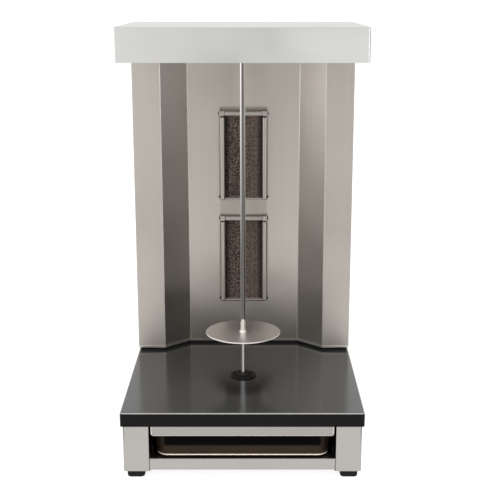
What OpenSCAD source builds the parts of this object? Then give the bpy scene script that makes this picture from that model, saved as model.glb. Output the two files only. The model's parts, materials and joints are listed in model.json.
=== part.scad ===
// Vertical rotisserie broiler: two gas burners stand behind a motor-driven spit.
// X runs across the machine, Y runs from the open front (-Y) to the back, Z is up.
// Depths are given from the front edge of the base slab and turned into Y by dy().

/* [Overall] */
// Width of the slab, the body and the hood
overall_w = 439; // [420:1:460]
// Depth from the slab's front edge to the end of the gas inlet
overall_depth = 520; // [510:1:560]
// Thickness of the folded sheet steel
sheet = 1.5; // [1.2:0.1:2]

/* [Base] */
// Height of the rubber feet
foot_h = 15; // [10:1:25]
// Width of a foot
foot_w = 32; // [24:1:36]
// Height of the leg panels between the feet and the slab
base_h = 88; // [85:1:110]
// Inset of the leg panels from the slab's edge
base_inset = 4.5; // [2:0.5:8]
// Width of the front face of a leg
leg_w = 46; // [40:1:50]
// Height of the bars that join the legs
crossbar_h = 21.5; // [18:0.5:26]
// Thickness of the black base slab
slab_h = 26; // [22:1:34]
// Depth of the black base slab
slab_depth = 490; // [486:1:494]

/* [Grease pan] */
// Width of the pan's front strip
pan_front_w = 330; // [320:1:333]
// Visible height of the pan's front strip
pan_front_h = 18; // [14:1:24]
// Width of the pan across its bottom
pan_w = 312; // [290:1:316]
// Corner radius of the pan
pan_corner_r = 21; // [12:1:30]

/* [Spit] */
// Depth of the spit's axis
spit_depth = 192.5; // [185:0.5:200]
// Radius of the spit rod
spit_r = 5; // [4.5:0.1:5.5]
// Radius of the disc that carries the meat
disc_r = 72; // [60:1:80]
// Height of the disc's top face above the slab
disc_up = 91; // [80:1:120]

/* [Body] */
// Depth of the outer front panels
body_front = 344; // [335:1:350]
// How far the burner panel stands back from the outer panels
niche_depth = 47; // [40:1:50]
// Half width where the outer front panels end
niche_half = 164.5; // [155:0.5:170]
// Half width of the burner panel
panel_half = 114; // [105:1:120]
// Gap between the slab and the body panels
body_gap = 6.5; // [5:0.5:9]

/* [Hood] */
// Depth of the hood's front face
hood_front = 70; // [60:1:80]
// Depth of the hood's back face
hood_back = 400; // [396:1:404]
// Height of the hood above the slab
hood_up = 611; // [605:1:640]
// Height of the hood's front face
hood_h = 60; // [58:1:64]

/* [Burners] */
// Width of a burner's front frame
burner_w = 97; // [92:0.5:98]
// Height of a burner's front frame
burner_h = 184; // [178:0.5:188]
// Height of the lower burner's centre above the slab
burner_up = 187.5; // [184:0.25:192]
// Distance between the burner centres
burner_pitch = 216.5; // [210:0.5:224]

/* [Hidden] */
$fn = 48;
eps = 0.01;

half_w = overall_w / 2;
base_half = half_w - base_inset;
leg_inner = base_half - leg_w;
leg_sheet = 2;
leg_corner_r = 4;
leg_return = 5;
foot_flange_w = 49;
slab_flange_w = 22;
base_front = 4;
base_back = slab_depth - 4;
leg_bottom = foot_h;
slab_bottom = foot_h + base_h;
slab_top = slab_bottom + slab_h;
slab_skin = 2.5;
slab_hem = 32;
crossbar_bottom = leg_bottom + leg_sheet;
crossbar_top = crossbar_bottom + crossbar_h;
crossbar_deep = 26;
foot_x = base_half - 21;
foot_corner_r = 8;
foot_step = 1.5;
foot_depths = [27, base_back - 23];

pan_floor = crossbar_top + 0.7;
pan_rim = slab_bottom - 1.5;
pan_front = 10.5;
pan_back = 455;
pan_lean = 4.5;
pan_wall = 1.2;
strip_return = 2.7;
rail_in = 138;
rail_out = 166;

body_back = slab_depth - 2;
body_bottom = slab_top + body_gap;
hood_bottom = slab_top + hood_up;
hood_top = hood_bottom + hood_h;
roof_top = hood_top - 8;
hood_edge_r = 3.5;
panel_depth = body_front + niche_depth;
fold_angle = atan2(niche_depth, niche_half - panel_half);
flange_w = 14;
cover_half = half_w - sheet;
cover_face = body_back;
cover_screw_x = half_w - 8.5;
cover_screw_zs = [165, 370, 575, 770];
louvre_xs = [-120, 0, 120];
louvre_zs = [slab_top + 130, slab_top + 330];
louvre_half = 42;
louvre_pitch = 20;
louvre_h = 7;

burner_zs = [slab_top + burner_up, slab_top + burner_up + burner_pitch];
burner_rail = 10;
burner_top_rail = 11;
burner_foot_rail = 5.5;
burner_proud = 12;
mesh_w = burner_w - 2 * burner_rail;
mesh_h = burner_h - burner_top_rail - burner_foot_rail;
mesh_drop = (burner_top_rail - burner_foot_rail) / 2;
window_margin = 1;
tile_half = 45;
tile_h = 84.5;
tile_t = 13;
box_half_w = 48;
box_half_h = 90;
box_deep = 40;

tube_xs = [-30, 30];
tube_r = 11;
tube_bore_r = 9.5;
tube_bend = 18;
tube_depth = panel_depth + sheet + box_deep + 6 + tube_bend;
tube_mouth = slab_top + 63;
port_up = 25 - box_half_h;

manifold_z = slab_top + 18;
manifold_r = 7;
valve_z = manifold_z + manifold_r + 15;
valve_front = tube_depth - 13;
valve_back = tube_depth + 15;
plug_r = 7.95;
stem_r = 4;
knob_r = 19;
knob_face = cover_face + 29;
knob_seat = cover_face + 5;
inlet_x = 110;
inlet_r = 10.5;
inlet_bore_r = 6;

bearing_bore_r = spit_r + 0.05;
bearing_top = slab_top + 7;
bearing_floor = slab_top - 14;
ball_r = 4.75;
bearing_stub_r = 11;
bearing_flange_r = 25;
bearing_boss_r = 13;
bearing_screw_r = 19;
bearing_screw_angles = [30:120:270];
rod_bottom = bearing_floor + 2 * ball_r + 0.1;
rod_shoulder = hood_bottom - 5;
square_top = hood_bottom + 22;
square_w = 8;
disc_top = slab_top + disc_up;
disc_t = 2.5;

socket_r = 10;
socket_bottom = hood_bottom - 7;
socket_top = hood_bottom + 46;
belly_top = hood_bottom + 2 * sheet;
hood_screw_xs = [-half_w + 9, half_w - 9];
hood_screw_depths = [hood_front + 30, body_front - 20];
gearbox_half = 38;
gearbox_bottom = belly_top + 5;
gearbox_h = 28;
gearbox_front = spit_depth - 32;
gearbox_back = spit_depth + 46;
worm_depth = spit_depth + 28;
worm_z = gearbox_bottom + 16;
worm_r = 8;
worm_shaft_r = 4;
motor_r = 17;
motor_len = 74;

switch_x = 120;
switch_z = hood_bottom - 40;
switch_w = 20;
switch_h = 28;
gland_x = 165;
gland_r = 8;
rocker_tilt = 8;
rocker_depth = cover_face - 2;
trunnion_r = 1.2;

// ---------- helpers ----------

// Y of a place that lies d behind the slab's front edge
function dy(d) = d - overall_depth / 2;

// A box between two X values, two depths and two heights
module block(x, d, z) {
  translate([x[0], dy(d[0]), z[0]])
    cube([x[1] - x[0], d[1] - d[0], z[1] - z[0]]);
}

// A round bar along Z, Y or X
module bar_z(x, d, z, r) {
  translate([x, dy(d), z[0]]) cylinder(r = r, h = z[1] - z[0]);
}

module bar_y(x, z, d, r) {
  translate([x, dy(d[0]), z]) rotate([-90, 0, 0]) cylinder(r = r, h = d[1] - d[0]);
}

module bar_x(d, z, x, r) {
  translate([x[0], dy(d), z]) rotate([0, 90, 0]) cylinder(r = r, h = x[1] - x[0]);
}

// A flat rectangle with round corners, between two points of its plane
module round_rect(a, b, r) {
  translate([a[0] + r, a[1]]) square([b[0] - a[0] - 2 * r, b[1] - a[1]]);
  translate([a[0], a[1] + r]) square([b[0] - a[0], b[1] - a[1] - 2 * r]);
  for (u = [a[0] + r, b[0] - r], v = [a[1] + r, b[1] - r])
    translate([u, v]) circle(r = r);
}

// An upright block with round vertical corners
module round_block(x, d, z, r) {
  translate([0, 0, z[0]])
    linear_extrude(z[1] - z[0])
      round_rect([x[0], dy(d[0])], [x[1], dy(d[1])], r);
}

// A plate in the XZ plane with round corners
module upright_plate(x, d, z, r) {
  translate([0, dy(d[1]), 0])
    rotate([90, 0, 0])
      linear_extrude(d[1] - d[0])
        round_rect([x[0], z[0]], [x[1], z[1]], r);
}

// A folded lid: round vertical corners and round top edges
module folded_block(x, d, z, r) {
  intersection() {
    round_block(x, d, z, r);
    upright_plate(x, d, [z[0] - 2 * r, z[1]], r);
    translate([x[0], 0, 0])
      rotate([90, 0, 90])
        linear_extrude(x[1] - x[0])
          round_rect([dy(d[0]), z[0] - 2 * r], [dy(d[1]), z[1]], r);
  }
}

// A pan-head screw along -Y, its head against a face at depth d
module back_screw(x, z, d) {
  bar_y(x, z, [d, d + 2], 4);
  bar_y(x, z, [d - 9, d + eps], 2);
}

// ---------- base ----------

module base_side() {
  color("gainsboro") difference() {
    union() {
      difference() {
        round_block([-base_half, -leg_inner], [base_front, base_back], [leg_bottom, slab_bottom],
          leg_corner_r);
        round_block([leg_sheet - base_half, 0], [base_front + leg_sheet, base_back - leg_sheet],
          [leg_bottom - 1, slab_bottom + 1], leg_corner_r - leg_sheet);
        block([-leg_inner - leg_corner_r - eps, 0], [base_front - 1, base_back + 1],
          [leg_bottom - 1, slab_bottom + 1]);
      }
      for (d = [base_front, base_back - leg_sheet])
        block([-leg_inner - leg_return, -leg_inner], [d, d + leg_sheet], [leg_bottom, slab_bottom]);
      block([leg_sheet - base_half - eps, foot_flange_w - base_half],
        [base_front + leg_sheet - eps, base_back - leg_sheet + eps], [leg_bottom, leg_bottom + leg_sheet]);
      block([leg_sheet - base_half - eps, slab_flange_w - base_half],
        [base_front + leg_sheet - eps, base_back - leg_sheet + eps], [slab_bottom - leg_sheet, slab_bottom]);
    }
    for (d = foot_depths) bar_z(-foot_x, d, [leg_bottom - 1, leg_bottom + 3], 3.2);
  }
}

module base_left_side() { base_side(); }

module base_right_side() { mirror([1, 0, 0]) base_side(); }

// A channel bar between the side panels, its web facing away from the middle
module crossbar(web, back) {
  span = base_half - 2 * leg_sheet;
  color("gainsboro") {
    block([-span, span], [web, web + leg_sheet], [crossbar_bottom, crossbar_top]);
    for (z = [crossbar_bottom, crossbar_top - leg_sheet])
      block([-leg_inner, leg_inner], [min(web, back), max(web + leg_sheet, back)], [z, z + leg_sheet]);
  }
}

module front_crossbar() {
  web = base_front + leg_sheet;
  crossbar(web, web + crossbar_deep);
}

module rear_crossbar() {
  web = base_back - 3 * leg_sheet;
  crossbar(web, web + leg_sheet - crossbar_deep);
}

module base_back_panel() {
  span = base_half - 2 * leg_sheet;
  color("gainsboro")
    difference() {
      block([-span, span], [base_back - 2 * leg_sheet, base_back - leg_sheet],
        [crossbar_bottom, slab_bottom - leg_sheet]);
      for (i = [-3:3])
        upright_plate([i * 40 - 14, i * 40 + 14], [base_back - 10, base_back + 1],
          [crossbar_top + 20, crossbar_top + 26], 2.9);
    }
}

// An angle that carries the pan and guides its side
module pan_rail() {
  front = base_front + leg_sheet + crossbar_deep;
  back = base_back - 2 * leg_sheet - crossbar_deep;
  color("silver") {
    block([rail_in, rail_out], [front, back], [crossbar_top - leg_sheet, crossbar_top]);
    block([rail_out - sheet, rail_out], [front, back], [crossbar_top - eps, crossbar_top + 14]);
  }
}

module pan_rail_left() { mirror([1, 0, 0]) pan_rail(); }

module pan_rail_right() { pan_rail(); }

// A square foot with round corners, a stepped edge underneath and a recess for its screw
module foot(x, d) {
  half = foot_w / 2;
  difference() {
    union() {
      round_block([x - half, x + half], [d - half, d + half], [foot_step, foot_h], foot_corner_r);
      round_block([x - half + foot_step, x + half - foot_step], [d - half + foot_step, d + half - foot_step],
        [0, foot_h / 2], foot_corner_r - foot_step);
    }
    bar_z(x, d, [-1, 6], 8);
    bar_z(x, d, [5, foot_h + 1], 3.2);
  }
}

module feet() {
  color("black") for (x = [-foot_x, foot_x], d = foot_depths)
    foot(x, d);
}

module foot_screws() {
  color("silver") for (x = [-foot_x, foot_x], d = foot_depths) {
    bar_z(x, d, [3, 6], 6);
    bar_z(x, d, [6 - eps, leg_bottom + 9], 3);
    translate([x, dy(d), leg_bottom + leg_sheet]) cylinder(r = 5.8, h = 5, $fn = 6);
  }
}

module base_slab() {
  color("black") difference() {
    folded_block([-half_w, half_w], [0, slab_depth], [slab_bottom, slab_top], 4);
    block([slab_skin - half_w, half_w - slab_skin], [slab_skin, slab_depth - slab_skin],
      [slab_bottom + slab_skin, slab_top - slab_skin]);
    block([slab_hem - half_w, half_w - slab_hem], [slab_hem, slab_depth - slab_hem],
      [slab_bottom - 1, slab_bottom + slab_skin + 1]);
    bar_z(0, spit_depth, [slab_top - 9, slab_top + 1], bearing_stub_r + 0.1);
    for (a = bearing_screw_angles)
      bar_z(bearing_screw_r * cos(a), spit_depth + bearing_screw_r * sin(a),
        [slab_top - 9, slab_top + 1], 2.1);
  }
}

// ---------- grease pan ----------

// A block that leans out towards its top, with round vertical corners
module leaning_block(wall) {
  hull() {
    round_block([wall - pan_w / 2, pan_w / 2 - wall], [pan_front + wall, pan_back - wall],
      [pan_floor + wall, pan_floor + wall + 0.1], pan_corner_r - wall);
    round_block([wall - pan_w / 2 - pan_lean, pan_w / 2 + pan_lean - wall],
      [pan_front + wall - pan_lean, pan_back + pan_lean - wall],
      [pan_rim - 0.1, pan_rim + (wall > 0 ? 1 : 0)], pan_corner_r - wall);
  }
}

module grease_pan() {
  $fn = 32;
  rim = pan_w / 2 + pan_lean;
  color([0.24, 0.19, 0.15]) {
    difference() {
      leaning_block(0);
      leaning_block(pan_wall);
    }
    difference() {
      round_block([-rim - 2.5, rim + 2.5], [base_front + sheet, pan_back + pan_lean + 2.5],
        [pan_rim - sheet, pan_rim], 3);
      block([pan_wall - rim, rim - pan_wall],
        [pan_front - pan_lean + pan_wall, pan_back + pan_lean - pan_wall],
        [pan_rim - 3, pan_rim + 1]);
    }
  }
}

module pan_front_strip() {
  half = pan_front_w / 2;
  bottom = slab_bottom - pan_front_h - sheet;
  color("gainsboro") {
    difference() {
      upright_plate([-half, half], [base_front, base_front + sheet], [bottom, pan_rim + 8], 5);
      block([-half - 1, half + 1], [0, 10], [pan_rim, pan_rim + 10]);
    }
    block([6 - half, half - 6], [base_front + sheet - eps, base_front + strip_return],
      [bottom, bottom + sheet]);
  }
}

// ---------- body ----------

// The folded front line, moved into the body by a distance
function front_line(i) = let (s = i * tan(fold_angle / 2)) [
  [-half_w + i, dy(body_front + i)], [-niche_half - s, dy(body_front + i)],
  [-panel_half - s, dy(panel_depth + i)], [panel_half + s, dy(panel_depth + i)],
  [niche_half + s, dy(body_front + i)], [half_w - i, dy(body_front + i)]
];

function body_outline(i) = concat(front_line(i), [
  [half_w - i, dy(body_back - i)], [-half_w + i, dy(body_back - i)]
]);

module body_plinth() {
  color("dimgray") translate([0, 0, slab_top]) linear_extrude(body_gap) difference() {
    polygon(body_outline(4));
    polygon(body_outline(6));
  }
}

// The windows that the burners look through
module burner_windows() {
  for (z = burner_zs)
    block([-mesh_w / 2 - window_margin, mesh_w / 2 + window_margin], [panel_depth - 5, panel_depth + 5],
      [z - mesh_drop - mesh_h / 2 - window_margin, z - mesh_drop + mesh_h / 2 + window_margin]);
}

module heat_reflector() {
  outer = front_line(0);
  inner = front_line(sheet);
  color("silver") difference() {
    translate([0, 0, body_bottom])
      linear_extrude(hood_bottom - body_bottom)
        polygon(concat(outer, [[half_w, dy(body_front + sheet)]], [for (i = [5:-1:0]) inner[i]],
          [[-half_w, dy(body_front + sheet)]]));
    burner_windows();
  }
}

module body_side() {
  back = body_back - sheet;
  color("silver") difference() {
    union() {
      block([-half_w, sheet - half_w], [body_front + sheet, back], [body_bottom, hood_bottom]);
      block([-half_w, sheet - half_w], [hood_back + 1, back], [hood_bottom - eps, roof_top - sheet]);
      block([sheet - half_w - eps, flange_w - half_w], [back - sheet, back], [body_bottom, roof_top - sheet]);
      block([sheet - half_w - eps, flange_w - half_w], [body_front + 10, back - sheet + eps],
        [body_bottom, body_bottom + sheet]);
    }
    for (z = cover_screw_zs) bar_y(-cover_screw_x, z, [back - 5, back + 1], 2.2);
  }
}

module body_left_side() { body_side(); }

module body_right_side() { mirror([1, 0, 0]) body_side(); }

module body_roof() {
  back = body_back;
  color("silver") difference() {
    union() {
      block([-half_w, half_w], [hood_back + 1, back], [roof_top - sheet, roof_top]);
      block([-cover_half, cover_half], [hood_back + 1, hood_back + 1 + sheet],
        [hood_bottom, roof_top - sheet + eps]);
    }
    for (i = [-6:6], d = [hood_back + 22, hood_back + 52])
      round_block([i * 30 - 10, i * 30 + 10], [d, d + 14], [roof_top - 4, roof_top + 1], 4);
  }
}

module rear_cover() {
  color("silver") difference() {
    block([-cover_half, cover_half], [cover_face - sheet, cover_face], [body_bottom + 1, roof_top - sheet]);
    for (x = [-cover_screw_x, cover_screw_x], z = cover_screw_zs)
      bar_y(x, z, [cover_face - 5, cover_face + 1], 2.2);
    for (x = tube_xs) bar_y(x, valve_z, [cover_face - 5, cover_face + 1], 7);
    bar_y(inlet_x, manifold_z, [cover_face - 5, cover_face + 1], 11);
    bar_y(gland_x, switch_z, [cover_face - 5, cover_face + 1], gland_r + 0.1);
    block([switch_x - switch_w / 2, switch_x + switch_w / 2], [cover_face - 5, cover_face + 1],
      [switch_z - switch_h / 2, switch_z + switch_h / 2]);
    for (x = louvre_xs, i = [0:6], z = louvre_zs)
      upright_plate([x - louvre_half, x + louvre_half], [cover_face - 5, cover_face + 1],
        [z + louvre_pitch * i, z + louvre_pitch * i + louvre_h], louvre_h / 2 - 0.1);
  }
}

module rear_cover_screws() {
  color("silver") for (x = [-cover_screw_x, cover_screw_x], z = cover_screw_zs)
    back_screw(x, z, cover_face);
}

// ---------- burners ----------

module burner_frame(z) {
  front = panel_depth - burner_proud;
  mesh_z = z - mesh_drop;
  color("lightgray") difference() {
    upright_plate([-burner_w / 2, burner_w / 2], [front, panel_depth],
      [z - burner_h / 2, z + burner_h / 2], 2);
    block([-mesh_w / 2, mesh_w / 2], [front - 1, panel_depth + 1],
      [mesh_z - mesh_h / 2, mesh_z + mesh_h / 2]);
  }
}

// A screen of upright wires, each welded to the rim and to three cross wires
module burner_mesh(z) {
  mesh_z = z - mesh_drop;
  d = panel_depth - 5;
  rim = 2;
  color("dimgray") {
    difference() {
      block([-mesh_w / 2, mesh_w / 2], [d, d + 2], [mesh_z - mesh_h / 2, mesh_z + mesh_h / 2]);
      block([rim - mesh_w / 2, mesh_w / 2 - rim], [d - 1, d + 3],
        [mesh_z - mesh_h / 2 + rim, mesh_z + mesh_h / 2 - rim]);
    }
    for (i = [-6:6])
      bar_z(i * 5.4, d + 0.7, [mesh_z - mesh_h / 2 + 1, mesh_z + mesh_h / 2 - 1], 0.6);
    for (i = [-1:1])
      block([1 - mesh_w / 2, mesh_w / 2 - 1], [d + 0.8, d + 2],
        [mesh_z + i * 40 - 0.6, mesh_z + i * 40 + 0.6]);
  }
}

module burner_tiles(z) {
  front = panel_depth + sheet;
  color([0.45, 0.4, 0.36]) for (side = [-1, 1])
    translate([0, 0, z - mesh_drop + side * (tile_h / 2 + 0.25)])
      difference() {
        block([-tile_half, tile_half], [front, front + tile_t], [-tile_h / 2, tile_h / 2]);
        for (i = [-4:4])
          block([i * 9 - 1.2, i * 9 + 1.2], [front - 1, front + 1.5], [-tile_h / 2 - 1, tile_h / 2 + 1]);
      }
}

module burner_box(z, port_x) {
  front = panel_depth + sheet;
  back = front + box_deep;
  color("darkgray") difference() {
    upright_plate([-box_half_w, box_half_w], [front, back], [z - box_half_h, z + box_half_h], 5);
    upright_plate([sheet - box_half_w, box_half_w - sheet], [front - 1, back - sheet],
      [z - box_half_h + sheet, z + box_half_h - sheet], 3);
    bar_y(port_x, z + port_up, [back - 5, back + 1], tube_bore_r);
  }
}

// A bent tube that mixes gas and air: from the burner box to an open mouth above the jet
module mixing_tube(z, x) {
  port = z + port_up;
  elbow = tube_depth - tube_bend;
  color("darkgray") {
    difference() {
      bar_y(x, port, [elbow - 6, elbow], tube_r);
      bar_y(x, port, [elbow - 7, elbow + 1], tube_bore_r);
    }
    translate([x, dy(elbow), port - tube_bend]) rotate([0, -90, 0]) rotate_extrude(angle = 90)
      translate([tube_bend, 0]) difference() {
        circle(r = tube_r);
        circle(r = tube_bore_r);
      }
    difference() {
      bar_z(x, tube_depth, [tube_mouth, port - tube_bend], tube_r);
      bar_z(x, tube_depth, [tube_mouth - 1, port - tube_bend + 1], tube_bore_r);
    }
  }
}

module gas_valve(x) {
  color("goldenrod") difference() {
    union() {
      block([x - 13, x + 13], [valve_front, valve_back], [valve_z - 15, valve_z + 15]);
      bar_z(x, tube_depth, [valve_z + 15 - eps, tube_mouth + 6], 4);
    }
    bar_y(x, valve_z, [valve_back - 20, valve_back + 1], plug_r + 0.05);
    bar_z(x, tube_depth, [valve_z, tube_mouth + 7], 1);
  }
}

// The plug turns in the valve; the stem slides in the plug
module valve_plug(x) {
  color("gold") difference() {
    bar_y(x, valve_z, [valve_back - 19.5, valve_back - 1], plug_r);
    bar_y(x, valve_z, [valve_back - 15, valve_back], stem_r + 0.3);
  }
}

module valve_stem(x) {
  color("silver") bar_y(x, valve_z, [valve_back - 10, knob_face - 12], stem_r);
}

module gas_knob(x) {
  color("black") difference() {
    union() {
      bar_y(x, valve_z, [knob_seat, knob_seat + 5], knob_r);
      bar_y(x, valve_z, [knob_seat + 5 - eps, knob_face], knob_r - 4);
      block([x - 3.5, x + 3.5], [knob_seat + 5 - eps, knob_face],
        [valve_z - knob_r + 1, valve_z + knob_r - 1]);
    }
    bar_y(x, valve_z, [knob_seat - 1, knob_face - 12], stem_r);
  }
}

module gas_manifold() {
  color("goldenrod") difference() {
    union() {
      bar_x(tube_depth, manifold_z, [tube_xs[0] - 18, inlet_x - 11 + eps], manifold_r);
      block([inlet_x - 11, inlet_x + 11], [tube_depth - 11, tube_depth + 11],
        [manifold_z - 11, manifold_z + 11]);
    }
    bar_x(tube_depth, manifold_z, [tube_xs[0] - 15, inlet_x], manifold_r - 2);
    bar_y(inlet_x, manifold_z, [tube_depth, tube_depth + 12], inlet_bore_r);
  }
}

module gas_inlet() {
  color("gold") difference() {
    union() {
      bar_y(inlet_x, manifold_z, [tube_depth + 11, cover_face + eps], inlet_r);
      translate([inlet_x, dy(cover_face), manifold_z])
        rotate([-90, 0, 0]) cylinder(r = 16, h = 9, $fn = 6);
      bar_y(inlet_x, manifold_z, [cover_face + 9 - eps, overall_depth], inlet_r);
    }
    bar_y(inlet_x, manifold_z, [tube_depth + 10, overall_depth + 1], inlet_bore_r);
  }
}

// ---------- spit ----------

module spindle_foot_bearing() {
  color("black") difference() {
    translate([0, dy(spit_depth), 0]) rotate_extrude() polygon([
      [0, bearing_floor - 3], [bearing_stub_r, bearing_floor - 3], [bearing_stub_r, slab_top],
      [bearing_flange_r, slab_top], [bearing_flange_r, slab_top + 1.5],
        [bearing_flange_r - 1, slab_top + 2.5],
      [bearing_boss_r + 1, slab_top + 2.5], [bearing_boss_r, bearing_top - 1],
      [bearing_boss_r - 1, bearing_top], [0, bearing_top]
    ]);
    bar_z(0, spit_depth, [bearing_floor, bearing_top + 1], bearing_bore_r);
    for (a = bearing_screw_angles)
      bar_z(bearing_screw_r * cos(a), spit_depth + bearing_screw_r * sin(a),
        [slab_top - 1, slab_top + 4], 2.1);
  }
}

module foot_bearing_screws() {
  color("silver") for (a = bearing_screw_angles)
    translate([bearing_screw_r * cos(a), dy(spit_depth) + bearing_screw_r * sin(a), 0]) {
      translate([0, 0, slab_top + 2.5]) cylinder(r = 3.5, h = 1.5);
      translate([0, 0, slab_top - 7]) cylinder(r = 2, h = 9.5 + eps);
    }
}

module thrust_ball() {
  color("silver") translate([0, dy(spit_depth), bearing_floor + ball_r]) sphere(r = ball_r);
}

module spindle_rod() {
  color("silver") {
    bar_z(0, spit_depth, [rod_bottom, rod_shoulder], spit_r);
    block([-square_w / 2, square_w / 2], [spit_depth - square_w / 2, spit_depth + square_w / 2],
      [rod_shoulder - eps, square_top]);
  }
}

module meat_disc() {
  color("lightgray") difference() {
    union() {
      bar_z(0, spit_depth, [disc_top - disc_t, disc_top], disc_r);
      bar_z(0, spit_depth, [disc_top - eps, disc_top + 3], 6.5);
    }
    bar_z(0, spit_depth, [disc_top - 9, disc_top + 9], spit_r);
  }
}

module disc_collar() {
  top = disc_top - disc_t;
  color("silver") difference() {
    bar_z(0, spit_depth, [top - 18, top], 12);
    bar_z(0, spit_depth, [top - 19, top + 1], spit_r);
    bar_x(spit_depth, top - 9, [4, 13], 2.5);
  }
}

module collar_screw() {
  z = disc_top - disc_t - 9;
  color("dimgray") {
    bar_x(spit_depth, z, [5, 12], 2.5);
    bar_x(spit_depth, z, [12 - eps, 20], 5);
  }
}

// ---------- hood and drive ----------

module hood_shell() {
  r = hood_edge_r;
  color("gainsboro") difference() {
    folded_block([-half_w, half_w], [hood_front, hood_back], [hood_bottom, hood_top], r);
    folded_block([sheet - half_w, half_w - sheet], [hood_front + sheet, hood_back - sheet],
      [hood_bottom + sheet, hood_top - sheet], r - sheet);
    block([flange_w - half_w, half_w - flange_w], [hood_front + flange_w, hood_back - flange_w],
      [hood_bottom - 1, hood_bottom + sheet + 1]);
    for (x = hood_screw_xs, d = hood_screw_depths)
      bar_z(x, d, [hood_bottom - 1, hood_bottom + 3], 2.2);
  }
}

module hood_belly_plate() {
  color("gainsboro") difference() {
    block([4 - half_w, half_w - 4], [hood_front + 4, hood_back - 4], [hood_bottom + sheet, belly_top]);
    bar_z(0, spit_depth, [hood_bottom, hood_bottom + 9], 15);
    for (x = hood_screw_xs, d = hood_screw_depths)
      bar_z(x, d, [hood_bottom - 1, hood_bottom + 9], 2.2);
  }
}

module hood_screws() {
  color("silver") for (x = hood_screw_xs, d = hood_screw_depths) {
    bar_z(x, d, [hood_bottom - 2, hood_bottom], 4);
    bar_z(x, d, [hood_bottom - eps, hood_bottom + 10], 2);
  }
}

module motor_bracket() {
  color("silver") difference() {
    union() {
      block([-gearbox_half, gearbox_half], [gearbox_front, gearbox_back], [belly_top, belly_top + 2]);
      for (x = [-gearbox_half + 6, gearbox_half - 6], d = [gearbox_front + 6, gearbox_back - 6])
        bar_z(x, d, [belly_top + 2 - eps, gearbox_bottom], 4.5);
    }
    bar_z(0, spit_depth, [belly_top - 1, gearbox_bottom + 1], 15.3);
  }
}

module gearbox_case() {
  wall = 3;
  color("darkgray") difference() {
    round_block([-gearbox_half, gearbox_half], [gearbox_front, gearbox_back],
      [gearbox_bottom, gearbox_bottom + gearbox_h], 6);
    round_block([wall - gearbox_half, gearbox_half - wall], [gearbox_front + wall, gearbox_back - wall],
      [gearbox_bottom + wall, gearbox_bottom + gearbox_h + 1], 3);
    bar_z(0, spit_depth, [gearbox_bottom - 1, gearbox_bottom + 9], socket_r + 0.4);
    bar_x(worm_depth, worm_z, [-gearbox_half - 1, gearbox_half + 1], worm_shaft_r + 0.05);
  }
}

module gearbox_lid() {
  top = gearbox_bottom + gearbox_h;
  color("gray") difference() {
    round_block([-gearbox_half, gearbox_half], [gearbox_front, gearbox_back], [top, top + 3], 6);
    bar_z(0, spit_depth, [top - 1, top + 4], socket_r + 0.4);
  }
}

module worm_wheel() {
  color("goldenrod") difference() {
    bar_z(0, spit_depth, [worm_z - 5, worm_z + 5], worm_depth - spit_depth - worm_r - 0.3);
    bar_z(0, spit_depth, [worm_z - 6, worm_z + 6], socket_r);
  }
}

module worm_shaft() {
  color("silver") {
    bar_x(worm_depth, worm_z, [-gearbox_half - 2, gearbox_half + 22], worm_shaft_r);
    for (i = [-5:5]) bar_x(worm_depth, worm_z, [3 * i - 0.8, 3 * i + 0.8], worm_r);
    bar_x(worm_depth, worm_z, [-17, 17], worm_r - 2);
  }
}

module drive_motor() {
  start = gearbox_half;
  color("dimgray") difference() {
    union() {
      bar_x(worm_depth, worm_z, [start, start + 6], 12);
      bar_x(worm_depth, worm_z, [start + 6 - eps, start + motor_len], motor_r);
    }
    bar_x(worm_depth, worm_z, [start - 1, start + 23], worm_shaft_r + 0.4);
  }
}

// A hollow shaft: a round mouth guides the rod, the square above turns it
module drive_socket() {
  room = square_w / 2 + 0.2;
  color("silver") difference() {
    bar_z(0, spit_depth, [socket_bottom, socket_top], socket_r);
    bar_z(0, spit_depth, [socket_bottom - 1, rod_shoulder + 17], square_w / sqrt(2) + 0.3);
    block([-room, room], [spit_depth - room, spit_depth + room], [rod_shoulder + 16, socket_top - 6]);
  }
}

module drive_bush() {
  color("goldenrod") difference() {
    union() {
      bar_z(0, spit_depth, [hood_bottom - 1, hood_bottom + sheet], 19);
      bar_z(0, spit_depth, [hood_bottom + sheet - eps, gearbox_bottom - 0.5], 15);
    }
    bar_z(0, spit_depth, [hood_bottom - 2, gearbox_bottom], socket_r + 0.05);
  }
}

// ---------- electrical ----------

module switch_bezel() {
  color("black") difference() {
    union() {
      block([switch_x - switch_w / 2 - 2, switch_x + switch_w / 2 + 2], [cover_face, cover_face + 2.5],
        [switch_z - switch_h / 2 - 2, switch_z + switch_h / 2 + 2]);
      block([switch_x - switch_w / 2, switch_x + switch_w / 2], [cover_face - 18, cover_face + eps],
        [switch_z - switch_h / 2, switch_z + switch_h / 2]);
    }
    block([switch_x - 8, switch_x + 8], [cover_face - 14, cover_face + 3],
      [switch_z - 12.5, switch_z + 12.5]);
    bar_x(rocker_depth, switch_z, [switch_x - 9.4, switch_x + 9.4], trunnion_r + 0.05);
  }
}

module rocker() {
  color("firebrick") {
    translate([switch_x, dy(rocker_depth), switch_z]) rotate([-rocker_tilt, 0, 0])
      difference() {
        translate([-7.6, -6, -11.5]) cube([15.2, 10, 23]);
        translate([0, 34, 0]) rotate([0, 90, 0]) cylinder(r = 32, h = 20, center = true);
      }
    bar_x(rocker_depth, switch_z, [switch_x - 9.2, switch_x + 9.2], trunnion_r);
  }
}

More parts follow.
